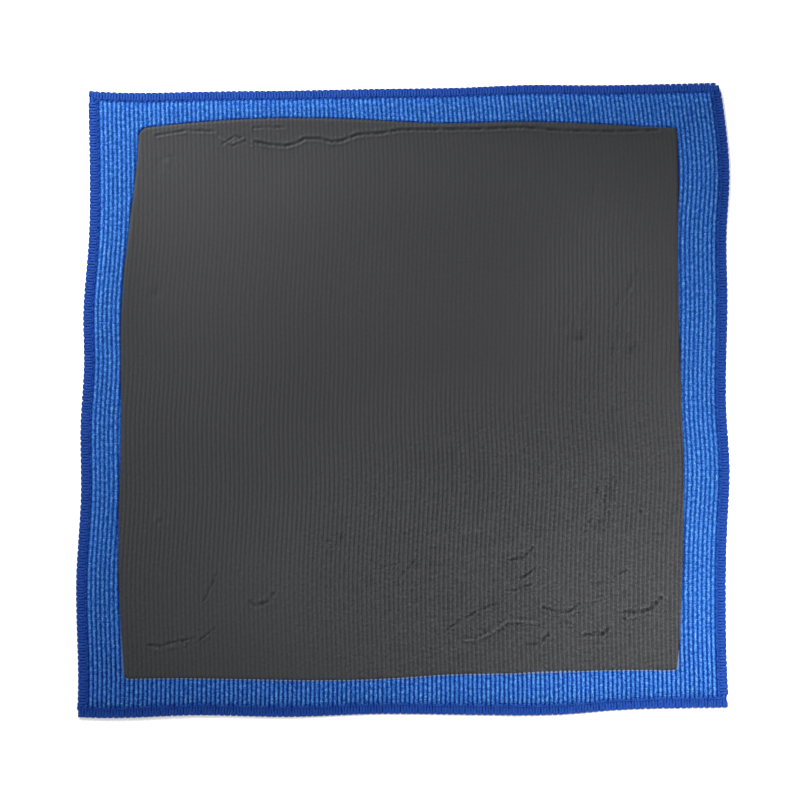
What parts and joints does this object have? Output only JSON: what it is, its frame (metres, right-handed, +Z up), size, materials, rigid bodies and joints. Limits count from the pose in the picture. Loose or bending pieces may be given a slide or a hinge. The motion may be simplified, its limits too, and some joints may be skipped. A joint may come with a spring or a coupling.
{
  "type": "detailing clay towel",
  "caption": "Square ribbed microfibre cloth with a dark grey synthetic clay layer pressed into one face and overlocked edges, laid flat, for decontaminating car paint.",
  "frame": {"origin": "middle of the bounding box in plan, on the surface that the towel rests on", "axes": "+Z up through the clay face, +X across the ribs of the cloth, +Y along the ribs towards the back edge"},
  "size_m": [0.3046, 0.299, 0.0028],
  "materials": {
    "cloth": "ribbed matte knit",
    "clay": "matte, slightly tacky",
    "thread": "matte textured yarn"
  },
  "bodies": {
    "root": {"microfibre_cloth": "cloth", "clay_layer": "clay", "needle_thread_left": "thread", "needle_thread_right": "thread", "needle_thread_front": "thread", "needle_thread_back": "thread", "upper_looper_thread_left": "thread", "upper_looper_thread_right": "thread", "upper_looper_thread_front": "thread", "upper_looper_thread_back": "thread", "lower_looper_thread_left": "thread", "lower_looper_thread_right": "thread", "lower_looper_thread_front": "thread", "lower_looper_thread_back": "thread"}
  },
  "joints": []
}
